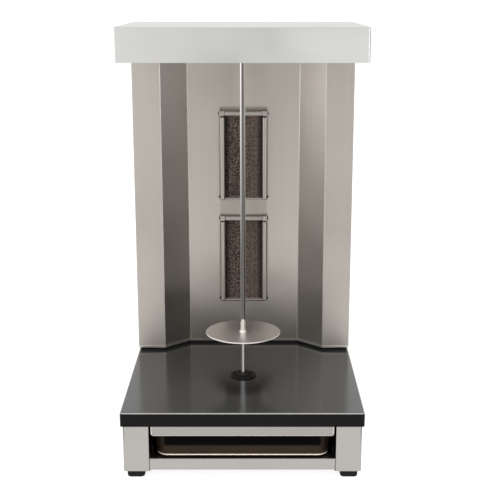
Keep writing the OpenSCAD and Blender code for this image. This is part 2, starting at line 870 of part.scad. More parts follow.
module cable_gland() {
  color("black") difference() {
    union() {
      translate([gland_x, dy(cover_face), switch_z]) rotate([-90, 0, 0]) cylinder(r = 12, h = 6, $fn = 6);
      bar_y(gland_x, switch_z, [cover_face + 6 - eps, cover_face + 14], gland_r + 1);
      bar_y(gland_x, switch_z, [cover_face - 9, cover_face + eps], gland_r);
      translate([gland_x, dy(cover_face - sheet - 4), switch_z])
        rotate([-90, 0, 0]) cylinder(r = 12, h = 4, $fn = 6);
    }
    bar_y(gland_x, switch_z, [cover_face - 10, cover_face + 15], 4);
  }
}

// ---------- nodes ----------

base_left_side();
base_right_side();
front_crossbar();
rear_crossbar();
base_back_panel();
pan_rail_left();
pan_rail_right();
feet();
foot_screws();
base_slab();
grease_pan();
pan_front_strip();
body_plinth();
heat_reflector();
body_left_side();
body_right_side();
body_roof();
rear_cover();
rear_cover_screws();
burner_frame(burner_zs[0]);  // lower_burner_frame
burner_frame(burner_zs[1]);  // upper_burner_frame
burner_mesh(burner_zs[0]);  // lower_burner_mesh
burner_mesh(burner_zs[1]);  // upper_burner_mesh
burner_tiles(burner_zs[0]);  // lower_burner_tiles
burner_tiles(burner_zs[1]);  // upper_burner_tiles
burner_box(burner_zs[0], tube_xs[0]);  // lower_burner_box
burner_box(burner_zs[1], tube_xs[1]);  // upper_burner_box
mixing_tube(burner_zs[0], tube_xs[0]);  // lower_mixing_tube
mixing_tube(burner_zs[1], tube_xs[1]);  // upper_mixing_tube
gas_valve(tube_xs[0]);  // lower_gas_valve
gas_valve(tube_xs[1]);  // upper_gas_valve
valve_plug(tube_xs[0]);  // lower_valve_plug
valve_plug(tube_xs[1]);  // upper_valve_plug
valve_stem(tube_xs[0]);  // lower_valve_stem
valve_stem(tube_xs[1]);  // upper_valve_stem
gas_knob(tube_xs[0]);  // lower_gas_knob
gas_knob(tube_xs[1]);  // upper_gas_knob
gas_manifold();
gas_inlet();
spindle_foot_bearing();
foot_bearing_screws();
thrust_ball();
spindle_rod();
meat_disc();
disc_collar();
collar_screw();
hood_shell();
hood_belly_plate();
hood_screws();
motor_bracket();
gearbox_case();
gearbox_lid();
worm_wheel();
worm_shaft();
drive_motor();
drive_socket();
drive_bush();
switch_bezel();
rocker();
cable_gland();
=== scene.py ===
"""Looks for the vertical rotisserie broiler: materials, sheet metal, woven burner screens and light."""

import json
import math

import bmesh
import bpy
from mathutils import Matrix, Vector


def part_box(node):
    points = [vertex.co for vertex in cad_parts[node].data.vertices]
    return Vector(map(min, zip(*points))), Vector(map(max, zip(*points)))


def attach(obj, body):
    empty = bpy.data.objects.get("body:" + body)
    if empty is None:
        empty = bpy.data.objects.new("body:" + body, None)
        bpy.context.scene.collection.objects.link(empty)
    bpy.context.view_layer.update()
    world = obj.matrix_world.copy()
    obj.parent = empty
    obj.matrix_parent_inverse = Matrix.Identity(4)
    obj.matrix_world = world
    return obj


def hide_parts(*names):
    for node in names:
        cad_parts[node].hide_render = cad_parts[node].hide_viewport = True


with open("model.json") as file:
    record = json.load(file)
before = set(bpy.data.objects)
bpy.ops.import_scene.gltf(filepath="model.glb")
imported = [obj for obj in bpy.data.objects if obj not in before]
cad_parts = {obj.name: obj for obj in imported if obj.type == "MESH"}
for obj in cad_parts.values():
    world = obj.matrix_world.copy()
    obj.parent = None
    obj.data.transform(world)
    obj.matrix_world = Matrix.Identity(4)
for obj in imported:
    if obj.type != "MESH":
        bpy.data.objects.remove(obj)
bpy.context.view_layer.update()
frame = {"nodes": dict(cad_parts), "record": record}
NODES = frame["nodes"]
RECORD = frame["record"]
WELD_DISTANCE = 0.00001
EDGE_BREAK = 0.0003
WHITE = (1, 1, 1)
GRAIN_ALONG, GRAIN_ACROSS = 4, 900
ROUGH_DRIFT = (0.85, 1.2)


# ---------- places, read from the frame ----------


def low(node):
    """The lowest corner of a node's box."""
    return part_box(node)[0]


def high(node):
    """The highest corner of a node's box."""
    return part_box(node)[1]


def centre(node):
    """The middle of a node's box."""
    a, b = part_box(node)
    return (a + b) / 2


# ---------- materials ----------


def new_material(name):
    """An empty node material: (material, node tree, principled shader)."""
    mat = bpy.data.materials.new(name)
    mat.use_nodes = True
    return mat, mat.node_tree, mat.node_tree.nodes["Principled BSDF"]


def object_coords(tree, scale=(1, 1, 1)):
    """Object coordinates stretched by scale, so a pattern keeps its real size and direction."""
    coords = tree.nodes.new("ShaderNodeTexCoord")
    mapping = tree.nodes.new("ShaderNodeMapping")
    mapping.inputs["Scale"].default_value = scale
    tree.links.new(coords.outputs["Object"], mapping.inputs["Vector"])
    return mapping.outputs["Vector"]


def noise(tree, vector, scale, detail, rough):
    """A noise value; its scale is counted per metre."""
    node = tree.nodes.new("ShaderNodeTexNoise")
    node.inputs["Scale"].default_value = scale
    node.inputs["Detail"].default_value = detail
    node.inputs["Roughness"].default_value = rough
    tree.links.new(vector, node.inputs["Vector"])
    return node.outputs["Fac"]


def spread(tree, value, low_out, high_out, low_in=0.3, high_in=0.7):
    """Maps a value from one range onto another; the usual range in is that of a noise."""
    node = tree.nodes.new("ShaderNodeMapRange")
    node.inputs["From Min"].default_value = low_in
    node.inputs["From Max"].default_value = high_in
    node.inputs["To Min"].default_value = low_out
    node.inputs["To Max"].default_value = high_out
    tree.links.new(value, node.inputs["Value"])
    return node.outputs["Result"]


def two_colours(tree, value, dark, light):
    """Mixes two fixed colours by a value from 0 to 1."""
    mix = tree.nodes.new("ShaderNodeMix")
    mix.data_type = "RGBA"
    mix.inputs["A"].default_value = (*dark, 1)
    mix.inputs["B"].default_value = (*light, 1)
    tree.links.new(value, mix.inputs["Factor"])
    return mix.outputs["Result"]


def bump(tree, shader, value, strength, distance):
    """Roughens a surface by a height value."""
    node = tree.nodes.new("ShaderNodeBump")
    node.inputs["Strength"].default_value = strength
    node.inputs["Distance"].default_value = distance
    tree.links.new(value, node.inputs["Height"])
    tree.links.new(node.outputs["Normal"], shader.inputs["Normal"])


def component(tree, vector, axis):
    """One axis of a vector."""
    split = tree.nodes.new("ShaderNodeSeparateXYZ")
    tree.links.new(vector, split.inputs["Vector"])
    return split.outputs[axis]


def calculate(tree, operation, first, second=None):
    """A math node on two values or links; numbers are set on the socket itself."""
    node = tree.nodes.new("ShaderNodeMath")
    node.operation = operation
    for socket, value in zip(node.inputs, (first, second)):
        if isinstance(value, (int, float)):
            socket.default_value = value
        elif value is not None:
            tree.links.new(value, socket)
    return node.outputs[0]


def tint(tree, colour, amount, tone):
    """Blends a colour link towards a fixed tone."""
    mix = tree.nodes.new("ShaderNodeMix")
    mix.data_type = "RGBA"
    mix.inputs["B"].default_value = (*tone, 1)
    tree.links.new(colour, mix.inputs["A"])
    tree.links.new(amount, mix.inputs["Factor"])
    return mix.outputs["Result"]


def repaint(tree, shader, *layers):
    """Lays tones over the base colour in order; each layer is (mask, tone)."""
    colour = shader.inputs["Base Color"].links[0].from_socket
    for mask, tone in layers:
        colour = tint(tree, colour, mask, tone)
    tree.links.new(colour, shader.inputs["Base Color"])


def product(tree, first, *others):
    """Multiplies masks together, from left to right."""
    for other in others:
        first = calculate(tree, "MULTIPLY", first, other)
    return first


def rising(tree, value, start, end, top=1.0):
    """A mask that grows from 0 to top between two places."""
    return spread(tree, value, 0.0, top, start, end)


def falling(tree, value, start, end, top=1.0):
    """A mask that shrinks from top to 0 between two places."""
    return spread(tree, value, top, 0.0, start, end)


def start_zones(mat):
    """What the zones of a material need: tree, shader and the distances across, along and up."""
    tree = mat.node_tree
    place = object_coords(tree)
    return tree, tree.nodes["Principled BSDF"], *(component(tree, place, axis) for axis in "XYZ")


def facing(tree, axis):
    """How far a surface faces along an axis, from -1 to 1."""
    return component(tree, tree.nodes.new("ShaderNodeNewGeometry").outputs["Normal"], axis)


def set_roughness(tree, shader, pattern, rough):
    """Lets a noise pattern vary the roughness a little."""
    least, most = ROUGH_DRIFT
    tree.links.new(spread(tree, pattern, rough * least, rough * most), shader.inputs["Roughness"])


def brushed_steel(name, colour, rough, grain="x", grain_depth=0.05, variation=0.06):
    """Stainless sheet with a fine one-way grain, soft handling smudges and a slightly uneven polish."""
    mat, tree, shader = new_material(name)
    stretch = tuple(GRAIN_ALONG if axis == grain else GRAIN_ACROSS for axis in "xyz")
    grain_value = noise(tree, object_coords(tree, stretch), 1.0, 3.0, 0.6)
    smudge = noise(tree, object_coords(tree), 7.0, 3.0, 0.55)
    dark = tuple(c * (1 - variation) for c in colour)
    light = tuple(min(1.0, c * (1 + variation)) for c in colour)
    streaks = two_colours(tree, spread(tree, grain_value, 0, 1), dark, light)
    tree.links.new(streaks, shader.inputs["Base Color"])
    set_roughness(tree, shader, smudge, rough)
    shader.inputs["Metallic"].default_value = 1.0
    bump(tree, shader, grain_value, grain_depth, 0.0004)
    return mat


def painted(name, dark, light, rough, coat=0.0, speck=600.0, depth=0.08, metallic=0.0, specular=0.5):
    """Paint, enamel or moulded plastic: a fine surface texture and a slow drift in tone and gloss."""
    mat, tree, shader = new_material(name)
    coords = object_coords(tree)
    fine = noise(tree, coords, speck, 2.0, 0.5)
    slow = noise(tree, coords, 9.0, 3.0, 0.5)
    drift = two_colours(tree, spread(tree, slow, 0, 1), dark, light)
    tree.links.new(drift, shader.inputs["Base Color"])
    set_roughness(tree, shader, slow, rough)
    shader.inputs["Metallic"].default_value = metallic
    shader.inputs["Specular IOR Level"].default_value = specular
    shader.inputs["Coat Weight"].default_value = coat
    shader.inputs["Coat Roughness"].default_value = 0.06
    bump(tree, shader, fine, depth, 0.0003)
    return mat


# Where the reflector folds, on both sides of the middle.
FOLD_OUTER = 0.1645
FOLD_INNER = 0.114


def reflector_steel():
    """Polished behind the spit and duller on the outer panels; painted light low on those panels,
    painted highlights on the hem and inner folds, painted shade by the burner frames.
    """
    mat = brushed_steel("reflector_steel", (0.46, 0.424, 0.387), rough=0.33, grain="z",
                        grain_depth=0.02, variation=0.03)
    tree, shader, across, _, height = start_zones(mat)
    side = calculate(tree, "ABSOLUTE", across)
    fold = (FOLD_OUTER - 0.0003, FOLD_OUTER + 0.0007)
    rough = shader.inputs["Roughness"].links[0].from_socket
    rough = calculate(tree, "ADD", rough, rising(tree, side, *fold, 0.2))
    tree.links.new(rough, shader.inputs["Roughness"])

    foot = low("heat_reflector").z
    # Painted light: the outer panels are made paler towards their foot.
    outer_foot_light = product(tree, rising(tree, side, *fold),
                         falling(tree, height, foot + 0.03, foot + 0.25, 0.42))
    # Painted highlights: a pale line along the hem at the foot and along each inner fold.
    hem = falling(tree, height, foot + 0.0026, foot + 0.0036, 0.6)
    crease = calculate(tree, "ABSOLUTE", calculate(tree, "SUBTRACT", side, FOLD_INNER))
    bright = calculate(tree, "MAXIMUM", hem, falling(tree, crease, 0.0004, 0.0012, 0.45))
    layers = [(outer_foot_light, (0.75, 0.7, 0.65)), (bright, (0.95, 0.92, 0.88))]

    # Painted shade: dark bands between the burner frames and just above each, standing for the frames'
    # shadow and reflection on the sheet.
    between = low("upper_burner_frame").z - high("lower_burner_frame").z
    for part, amount, start, end in (
        ("lower_burner_frame", 0.22, between - 0.004, between),
        ("lower_burner_frame", 0.3, 0.001, 0.003),
        ("upper_burner_frame", 0.6, 0.004, 0.0095),
    ):
        top, half = high(part).z, high(part).x
        frame_shade = product(tree, falling(tree, side, half - 0.002, half + 0.0015, amount),
                        falling(tree, height, top + start, top + end),
                        rising(tree, height, top - 0.003, top))
        layers.append((frame_shade, (0.13, 0.1, 0.08)))
    repaint(tree, shader, *layers)
    return mat


def shadowed_slab(tree, across, along):
    """A painted shadow: the patch of the slab under the disc, made dark as an ellipse with a soft edge.
    """
    spit = centre("meat_disc")
    radius = high("meat_disc").x - spit.x
    reach = []
    middle = spit.y - radius * 0.42
    for place, middle, half in ((across, spit.x, radius * 0.88), (along, middle, radius * 1.1)):
        share = calculate(tree, "DIVIDE", calculate(tree, "SUBTRACT", place, middle), half)
        reach.append(calculate(tree, "POWER", calculate(tree, "ABSOLUTE", share), 2))
    return falling(tree, calculate(tree, "ADD", *reach), 0.4, 1.2, 0.96)


def slab_enamel():
    """Black enamel, deep on its sides; painted lighter grey on its top as light, a painted shadow under
    the disc and a painted highlight along its top edge.
    """
    mat = painted("slab_enamel", (0.003, 0.003, 0.0029), (0.0045, 0.0045, 0.0042), rough=0.2, speck=500,
                  depth=0.03, specular=0.1)
    tree, shader, across, along, _ = start_zones(mat)
    up = facing(tree, "Z")
    # Painted light: the top faces are made a lighter grey than the sides.
    top = rising(tree, up, 0.9, 1.0)
    tree.links.new(calculate(tree, "MULTIPLY", top, 0.65), shader.inputs["Coat Weight"])
    shader.inputs["Coat Roughness"].default_value = 0.15
    # Painted highlight: a pale line on the rounded top edge.
    edge = product(tree, rising(tree, up, 0.3, 0.5), falling(tree, up, 0.85, 0.97))
    shadow = shadowed_slab(tree, across, along)
    repaint(tree, shader, (top, (0.03, 0.03, 0.029)), (shadow, (0.001, 0.001, 0.001)),
            (edge, (0.32, 0.32, 0.31)))
    return mat


def pan_enamel():
    """Baked-on brown enamel; a painted shadow near the rim, painted shade towards the sides and a
    painted highlight on the bottom bend.
    """
    mat = painted("pan_enamel", (0.026, 0.0172, 0.011), (0.034, 0.022, 0.0145), rough=0.55, speck=400,
                  depth=0.05, specular=0.03)
    tree, shader, across, _, height = start_zones(mat)
    side = calculate(tree, "ABSOLUTE", across)
    floor, half = low("grease_pan").z, high("grease_pan").x
    # Painted shadow: the wall under the rim is made near black, fading out towards the sides.
    rim_shadow = product(tree, rising(tree, height, floor + 0.021, floor + 0.027),
                    falling(tree, side, half - 0.024, half - 0.015))
    # Painted highlight: a pale band on the bottom bend.
    bend_highlight = product(tree, rising(tree, height, floor + 0.0036, floor + 0.0044),
                   falling(tree, height, floor + 0.0062, floor + 0.0074))
    # Painted shade: the wall is also made near black towards the sides.
    shaded = product(tree, rising(tree, height, floor + 0.009, floor + 0.014),
                     rising(tree, side, half - 0.024, half - 0.013, 0.7))
    repaint(tree, shader, (calculate(tree, "MAXIMUM", rim_shadow, shaded), (0.0006, 0.0006, 0.0006)),
            (bend_highlight, (0.95, 0.84, 0.74)))
    return mat


def hood_steel():
    """Pale steel with painted shade on the hood's ends, the faces that look sideways."""
    mat = brushed_steel("hood_steel", (0.67, 0.667, 0.65), rough=0.335, grain_depth=0.03,
                        variation=0.03)
    tree, shader = mat.node_tree, mat.node_tree.nodes["Principled BSDF"]
    # Painted shade: faces turned to the sides are made darker.
    ends = rising(tree, calculate(tree, "ABSOLUTE", facing(tree, "X")), 0.6, 0.9, 0.75)
    repaint(tree, shader, (ends, (0.36, 0.355, 0.345)))
    return mat


# Each end of the front bar runs this far behind the leg's face.
LEG_OVERLAP = 0.042


def shaded_inside(tree, side, depth):
    """Painted shade: the inner faces of the base, made near black."""
    half, front = high("base_right_side").x, low("base_right_side").y
    not_back = calculate(tree, "LESS_THAN", depth, high("base_right_side").y - 0.0021)
    return product(tree, falling(tree, side, half - 0.0018, half - 0.0008),
                   rising(tree, depth, front + 0.0032, front + 0.0042), not_back)


def strip_zones(tree, side, height):
    """The pan's front strip: painted shade on its face inside the hem, and a painted highlight on the
    hem along its foot and ends.
    """
    lowest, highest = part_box("pan_front_strip")
    end = (highest.x - 0.0022, highest.x - 0.0012)
    foot = (lowest.z - 0.0012, lowest.z - 0.0006)
    # Painted shade: the strip's face inside the hem is made darker.
    face = product(tree, rising(tree, height, lowest.z + 0.0012, lowest.z + 0.0022),
                   falling(tree, height, highest.z, highest.z + 0.0005), falling(tree, side, *end, 0.3))
    # Painted highlight: the hem along the foot and the ends is made pale.
    low_edge = product(tree, rising(tree, height, *foot),
                       falling(tree, height, lowest.z + 0.0012, lowest.z + 0.002))
    ends = product(tree, rising(tree, side, *end), rising(tree, height, *foot))
    on_strip = falling(tree, side, highest.x + 0.0004, highest.x + 0.0008, 0.6)
    return face, product(tree, calculate(tree, "MAXIMUM", low_edge, ends), on_strip)


def base_steel(name, colour):
    """Sheet of the base: brushed outside, painted shade inside and where the bars meet the legs; on the
    pan's strip, painted shade on its face and a painted highlight on its hem.
    """
    mat = brushed_steel(name, colour, rough=0.36, grain_depth=0.03, variation=0.03)
    tree, shader, across, depth, height = start_zones(mat)
    side = calculate(tree, "ABSOLUTE", across)
    inside_shade = shaded_inside(tree, side, depth)
    # Where the inside is painted as shade, the sheet also stops being metal, so it mirrors less.
    tree.links.new(calculate(tree, "SUBTRACT", 1.0, inside_shade), shader.inputs["Metallic"])
    seam, front = high("front_crossbar").x - LEG_OVERLAP, low("base_right_side").y
    # Painted shade where the bars meet the legs.
    joint_shade = product(tree, rising(tree, side, seam - 0.0016, seam - 0.0008, 0.75),
                    rising(tree, depth, front + 0.0012, front + 0.0018))
    face, hem = strip_zones(tree, side, height)
    repaint(tree, shader, (inside_shade, (0.01, 0.009, 0.008)), (joint_shade, (0.05, 0.045, 0.04)),
            (face, (0.2, 0.19, 0.18)), (hem, (0.8, 0.77, 0.73)))
    return mat


def wire_steel():
    """Heat-darkened wire: random dark patches as painted glints on the crossings, paler towards +X as
    painted light, and painted shade near the frame.
    """
    mat = brushed_steel("mesh_wire", (0.6, 0.5, 0.44), rough=0.35, grain="z", grain_depth=0.1,
                        variation=0.2)
    tree, shader, across, _, _ = start_zones(mat)
    patch = noise(tree, object_coords(tree), 330.0, 1.0, 0.5)
    half = high("lower_burner_mesh").x
    # Painted glints from random patches, and painted light: the patches fade towards +X.
    glints_and_side_light = product(tree, rising(tree, patch, 0.42, 0.6, 0.9),
                     spread(tree, across, 1.0, 0.6, -0.005, 0.015))
    # Painted shade: the cloth is made darker next to the frame.
    margin_shade = rising(tree, calculate(tree, "ABSOLUTE", across), half - 0.012, half - 0.002, 0.8)
    repaint(tree, shader, (glints_and_side_light, (0.05, 0.04, 0.033)), (margin_shade, (0.02, 0.016, 0.013)))
    return mat


MATERIALS = {
    "leg_steel": base_steel("leg_steel", (0.405, 0.388, 0.367)),
    # Painted shade: this steel is made near black because the pan rails stand in the dark opening; the
    # burner pins use it too.
    "plain_steel": brushed_steel("plain_steel", (0.06, 0.055, 0.05), rough=0.5, grain="y"),
    "foot_rubber": painted("foot_rubber", (0.008, 0.008, 0.0078), (0.013, 0.013, 0.0125), rough=0.6,
                           speck=700, depth=0.1, specular=0.1),
    "screw_steel": brushed_steel("screw_steel", (0.6, 0.6, 0.6), rough=0.22, grain_depth=0.02),
    "slab_enamel": slab_enamel(),
    "pan_enamel": pan_enamel(),
    "plinth_dark": painted("plinth_dark", (0.004, 0.004, 0.004), (0.007, 0.007, 0.007), rough=0.5,
                           depth=0.05, specular=0.2),
    "reflector_steel": reflector_steel(),
    "body_steel": brushed_steel("body_steel", (0.45, 0.425, 0.395), rough=0.335, grain="z",
                                grain_depth=0.03, variation=0.03),
    "burner_steel": brushed_steel("burner_steel", (0.4, 0.367, 0.334), rough=0.335, grain="z",
                                  grain_depth=0.004, variation=0.03),
    "mesh_wire": wire_steel(),
    "burner_ceramic": painted("burner_ceramic", (0.03, 0.024, 0.02), (0.07, 0.055, 0.045), rough=0.85,
                              speck=350, depth=0.4),
    "pressed_steel": brushed_steel("pressed_steel", (0.4, 0.39, 0.37), rough=0.42, grain="z"),
    "gas_brass": brushed_steel("gas_brass", (0.62, 0.43, 0.16), rough=0.335),
    "stem_steel": brushed_steel("stem_steel", (0.6, 0.6, 0.6), rough=0.22, grain="z"),
    "knob_plastic": painted("knob_plastic", (0.012, 0.012, 0.012), (0.025, 0.025, 0.024), rough=0.38),
    "bearing_black": painted("bearing_black", (0.006, 0.006, 0.006), (0.01, 0.01, 0.0095), rough=0.5,
                             specular=0.2),
    "spit_steel": brushed_steel("spit_steel", (0.62, 0.595, 0.57), rough=0.07, grain="z",
                                grain_depth=0.01),
    "disc_steel": brushed_steel("disc_steel", (0.85, 0.81, 0.765), rough=0.42, grain_depth=0.03,
                                variation=0.03),
    "hood_steel": hood_steel(),
    "gearbox_alloy": painted("gearbox_alloy", (0.35, 0.35, 0.35), (0.45, 0.45, 0.45), rough=0.5,
                             speck=500, depth=0.2, metallic=1.0),
    "bronze": brushed_steel("bronze", (0.45, 0.27, 0.12), rough=0.3),
    "motor_paint": painted("motor_paint", (0.03, 0.03, 0.035), (0.05, 0.05, 0.055), rough=0.45),
    "switch_plastic": painted("switch_plastic", (0.012, 0.012, 0.012), (0.025, 0.025, 0.025),
                              rough=0.4),
    "rocker_plastic": painted("rocker_plastic", (0.35, 0.01, 0.01), (0.45, 0.02, 0.015), rough=0.22,
                              coat=0.3),
}
SLOT_OF = {s["node"]: s["material_slot"] for s in RECORD["subparts"]}

# The rounded edges of the rear cover's many slots would leave streaks on its flat face.
PLAIN_EDGED = ("rear_cover",)


def dress_cad_nodes():
    """Gives every CAD node its material and welded corners, and softly broken edges to all but those in
    PLAIN_EDGED.
    """
    for name, node in NODES.items():
        node.data.materials.clear()
        node.data.materials.append(MATERIALS[SLOT_OF[name]])
        weld = node.modifiers.new("weld", "WELD")
        weld.merge_threshold = WELD_DISTANCE
        if name not in PLAIN_EDGED:
            soften(node, EDGE_BREAK, 2)


# ---------- mesh helpers ----------


def soften(piece, width, segments=3, angle=35):
    """Rounds a piece's sharp edges and keeps its faces flat between them."""
    bevel = piece.modifiers.new("edges", "BEVEL")
    bevel.width = width
    bevel.segments = segments
    bevel.limit_method = "ANGLE"
    bevel.angle_limit = math.radians(angle)
    bevel.harden_normals = True


def new_object(name, bm):
    """Turns a bmesh into an object of the scene."""
    data = bpy.data.meshes.new(name)
    bm.to_mesh(data)
    bm.free()
    made = bpy.data.objects.new(name, data)
    bpy.context.scene.collection.objects.link(made)
    return made


def add_piece(name, bm, body, *stands_for, slot=None, smooth_angle=32, thickness=0):
    """Turns a bmesh into an object that rides on a body and replaces CAD nodes."""
    bmesh.ops.recalc_face_normals(bm, faces=bm.faces)
    piece = new_object(name, bm)
    slot = slot or SLOT_OF[stands_for[0]]
    piece.data.materials.append(MATERIALS[slot])
    piece.data.shade_smooth()
    piece.data.set_sharp_from_angle(angle=math.radians(smooth_angle))
    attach(piece, body)
    if stands_for:
        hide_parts(*stands_for)
    if thickness:
        solid = piece.modifiers.new("sheet", "SOLIDIFY")
        solid.thickness = thickness
        solid.offset = -1
    flat = piece.modifiers.new("flat_faces", "WEIGHTED_NORMAL")
    flat.keep_sharp = True
    flat.weight = 100
    return piece


def add_rings(bm, rings, closed_ends=(True, True)):
    """Skins a stack of equal-length closed rings of points."""
    loops = [[bm.verts.new(p) for p in ring] for ring in rings]
    for lower, upper in zip(loops, loops[1:]):
        for i in range(len(lower)):
            j = (i + 1) % len(lower)
            bm.faces.new((lower[i], lower[j], upper[j], upper[i]))
    for close, loop in zip(closed_ends, (loops[0], loops[-1])):
        if close:
            bm.faces.new(loop)


def turned(bm, profile, place, axis="Z", segments=64):
    """A lathe-turned form; the profile lists (radius, distance along the axis from place)."""
    spin = {"X": Matrix.Rotation(math.pi / 2, 3, "Y"), "Y": Matrix.Rotation(-math.pi / 2, 3, "X")}
    turn = spin.get(axis, Matrix.Identity(3))
    angles = [2 * math.pi * i / segments for i in range(segments)]
    add_rings(bm, [
        [Vector(place) + turn @ Vector((r * math.cos(a), r * math.sin(a), h)) for a in angles]
        for r, h in profile
    ])


def rounded_block(bm, lowest, highest, radius, segments=3):
    """A block with all its edges rounded."""
    lowest, highest = Vector(lowest), Vector(highest)
    size = highest - lowest
    made = bmesh.ops.create_cube(bm, size=1)["verts"]
    for vert in made:
        vert.co = Vector([lowest[i] + (vert.co[i] + 0.5) * size[i] for i in range(3)])
    edges = list({edge for vert in made for edge in vert.link_edges})
    bmesh.ops.bevel(bm, geom=edges, offset=radius, segments=segments, profile=0.5, affect="EDGES",
                    clamp_overlap=True)


def rounded_loop(x, y, z, radius, steps=8):
    """A level rounded rectangle: points between two X values and two Y values."""
    corners = [(x[1] - radius, y[1] - radius), (x[0] + radius, y[1] - radius),
               (x[0] + radius, y[0] + radius), (x[1] - radius, y[0] + radius)]
    points = []
    for quarter, (cx, cy) in enumerate(corners):
        for i in range(steps + 1):
            angle = math.pi / 2 * (quarter + i / steps)
            points.append(Vector((cx + radius * math.cos(angle), cy + radius * math.sin(angle), z)))
    return points


def bent_line(points, radius, steps=6):
    """A level line through points with its corners rounded."""
    line = [Vector(points[0])]
    for before, corner, after in zip(points, points[1:], points[2:]):
        before, corner, after = Vector(before), Vector(corner), Vector(after)
        back, on = (before - corner).normalized(), (after - corner).normalized()
        half = back.angle(on) / 2
        hub = corner + (back + on).normalized() * radius / math.sin(half)
        start, end = (corner + way * radius / math.tan(half) for way in (back, on))
        for i in range(steps + 1):
            line.append(hub + (start.lerp(end, i / steps) - hub).normalized() * radius)
    line.append(Vector(points[-1]))
    return line


# ---------- folded sheet metal ----------

BEND = 0.003
SHEET = 0.0015
WINDOW_EDGE = 0.001


def window_boxes():
    """X and Z ranges of the openings behind the burner screens."""
    found = []
    for part in ("lower_burner_mesh", "upper_burner_mesh"):
        a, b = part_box(part)
        found.append((a.x - WINDOW_EDGE, b.x + WINDOW_EDGE, a.z - WINDOW_EDGE, b.z + WINDOW_EDGE))
    return found


def make_reflector():
    """The folded sheet behind the spit: soft bends, a hem along its foot and two burner windows."""
    a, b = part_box("heat_reflector")
    panel = b.y - SHEET
    corners = [(a.x, a.y), (-FOLD_OUTER, a.y), (-FOLD_INNER, panel),
               (FOLD_INNER, panel), (FOLD_OUTER, a.y), (b.x, a.y)]
    line = bent_line(corners, BEND)
    windows = window_boxes()
    for edge in (windows[0][0], windows[0][1]):
        line.append(Vector((edge, panel)))
    line.sort(key=lambda p: p.x)
    hem = [(a.z, 0.0), (a.z, 0.001), (a.z + 0.0028, 0.001), (a.z + 0.0034, 0.0)]
    levels = hem + [(z, 0.0) for w in windows for z in w[2:]] + [(b.z, 0.0)]
    bm = bmesh.new()
    grid = [[bm.verts.new((p.x, p.y - out, z)) for p in line] for z, out in levels]
    for row, (upper, lower) in enumerate(zip(grid[1:], grid)):
        for i in range(len(line) - 1):
            middle_x = (line[i].x + line[i + 1].x) / 2
            middle_z = (levels[row][0] + levels[row + 1][0]) / 2
            if not any(w[0] < middle_x < w[1] and w[2] < middle_z < w[3] for w in windows):
                bm.faces.new((lower[i], lower[i + 1], upper[i + 1], upper[i]))
    return add_piece("reflector_sheet", bm, "frame", "heat_reflector", smooth_angle=50, thickness=SHEET)


def hollow_tray(bm, lowest, highest, corner, edge, wall, steps=5):
    """An upside-down tray: vertical corners and top edges rounded, open underneath."""
    sides = []
    for t in (0, wall):
        x, y = (lowest.x + t, highest.x - t), (lowest.y + t, highest.y - t)
        top, turn = highest.z - t, max(edge - t, 0.0005)
        upright = max(corner - t, turn)
        rings = [rounded_loop(x, y, lowest.z, upright)]
        for i in range(steps + 1):
            angle = math.pi / 2 * i / steps
            inset = turn * (1 - math.cos(angle))
            z = top - turn + turn * math.sin(angle)
            rings.append(rounded_loop((x[0] + inset, x[1] - inset), (y[0] + inset, y[1] - inset), z,
                                      upright - inset * 0.9))
        sides.append(rings)
    outer, inner = sides
    add_rings(bm, outer[::-1] + inner)


def make_hood():
    """The hood: a shallow box of sheet, open underneath."""
    a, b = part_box("hood_shell")
    bm = bmesh.new()
    hollow_tray(bm, a, b, 0.0035, 0.0022, SHEET)
    return add_piece("hood_skin", bm, "frame", "hood_shell", smooth_angle=40)


def make_slab():
    """The enamelled slab that carries the body and the spit."""
    a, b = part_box("base_slab")
    bm = bmesh.new()
    hollow_tray(bm, a, b, 0.005, 0.003, 0.0025)
    return add_piece("slab_skin", bm, "frame", "base_slab", smooth_angle=40)


# ---------- grease pan ----------


def make_pan():
    """The deep-drawn pan: leaning walls, a soft bottom bend and a flat rim."""
    a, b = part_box("grease_pan")
    lean, corner, bend, steps = 0.0045, 0.021, 0.011, 6
    half, front, back = b.x - 0.0025, a.y + 0.0005, b.y - 0.0025
    rings = []
    for i in range(steps + 1):
        angle = math.pi / 2 * i / steps
        left = bend * (1 - math.sin(angle))
        inset = lean + left
        z = a.z + bend * (1 - math.cos(angle))
        rings.append(rounded_loop((-half + inset, half - inset), (front + inset, back - inset), z,
                                  corner - left * 0.8))
    rim = b.z - 0.0002
    rings += [
        rounded_loop((-half + 0.001, half - 0.001), (front + 0.001, back - 0.001), b.z - 0.002, corner),
        rounded_loop((-half, half), (front, back), rim, corner - 0.001),
        rounded_loop((-b.x, b.x), (a.y, b.y), rim, 0.004),
    ]
    bm = bmesh.new()
    add_rings(bm, rings, (True, False))
    return add_piece("pan_body", bm, "pan", "grease_pan", smooth_angle=50, thickness=0.0012)


def strip_outline(a, b, inset, radius, steps=6):
    """The front strip's outline: square above, rounded at its lower corners."""
    points = [(a.x + inset, b.z), (a.x + inset, a.z + radius)]
    for cx, start in ((a.x + radius, math.pi), (b.x - radius, 1.5 * math.pi)):
        for i in range(steps + 1):
            angle = start + math.pi / 2 * i / steps
            reach = radius - inset
            points.append((cx + reach * math.cos(angle), a.z + radius + reach * math.sin(angle)))
    points += [(b.x - inset, a.z + radius), (b.x - inset, b.z)]
    return points


def make_strip():
    """The pan's front strip with a folded hem round its sides and lower edge."""
    a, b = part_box("pan_front_strip")
    layers = [(0.0, SHEET), (0.0, 0.0008), (0.0003, 0.0003), (0.001, 0.0), (0.0016, 0.0003),
              (0.002, 0.0009)]
    bm = bmesh.new()
    add_rings(bm, [
        [Vector((x, a.y + back, z)) for x, z in strip_outline(a, b, inset, 0.005)]
        for inset, back in layers
    ])
    return add_piece("strip_plate", bm, "pan", "pan_front_strip", smooth_angle=60)


# ---------- burners ----------

LIP = 0.0016
PIN = [(0.0016, 0), (0.0026, 0.0003), (0.0026, 0.0018), (0.0012, 0.0024)]


